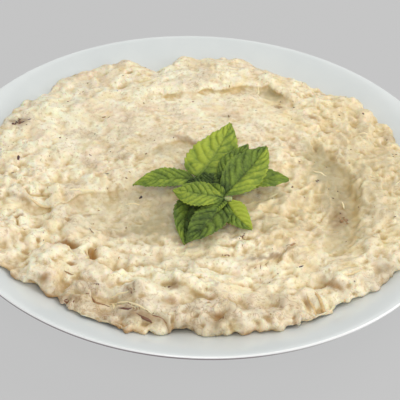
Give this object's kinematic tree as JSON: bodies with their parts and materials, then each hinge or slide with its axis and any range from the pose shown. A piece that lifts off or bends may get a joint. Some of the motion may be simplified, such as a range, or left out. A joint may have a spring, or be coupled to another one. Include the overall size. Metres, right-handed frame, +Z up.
{
  "type": "bowl of baba ganoush",
  "caption": "Wide shallow round bowl heaped with chunky spooned baba ganoush and topped with a sprig of mint, standing on its foot ring.",
  "frame": {"origin": "centre of the bowl's foot ring, on the plane that it stands on", "axes": "+Z up out of the bowl; -Y is the front, +X the right side seen from the front"},
  "size_m": [0.25, 0.25, 0.0511],
  "materials": {
    "porcelain": "smooth white glaze",
    "aubergine_dip": "moist, chunky, creamy beige",
    "mint_stem": "smooth pale green stalk",
    "mint_leaf": "matt fresh green leaf"
  },
  "bodies": {
    "root": {"bowl": "porcelain", "baba_ganoush": "aubergine_dip", "mint_stem": "mint_stem", "mint_leaf_left": "mint_leaf", "mint_leaf_back": "mint_leaf", "mint_leaf_back_small": "mint_leaf", "mint_leaf_right_tall": "mint_leaf", "mint_leaf_right_low": "mint_leaf", "mint_leaf_centre": "mint_leaf", "mint_leaf_front_left": "mint_leaf", "mint_leaf_front": "mint_leaf", "mint_leaf_front_right": "mint_leaf"}
  },
  "joints": []
}
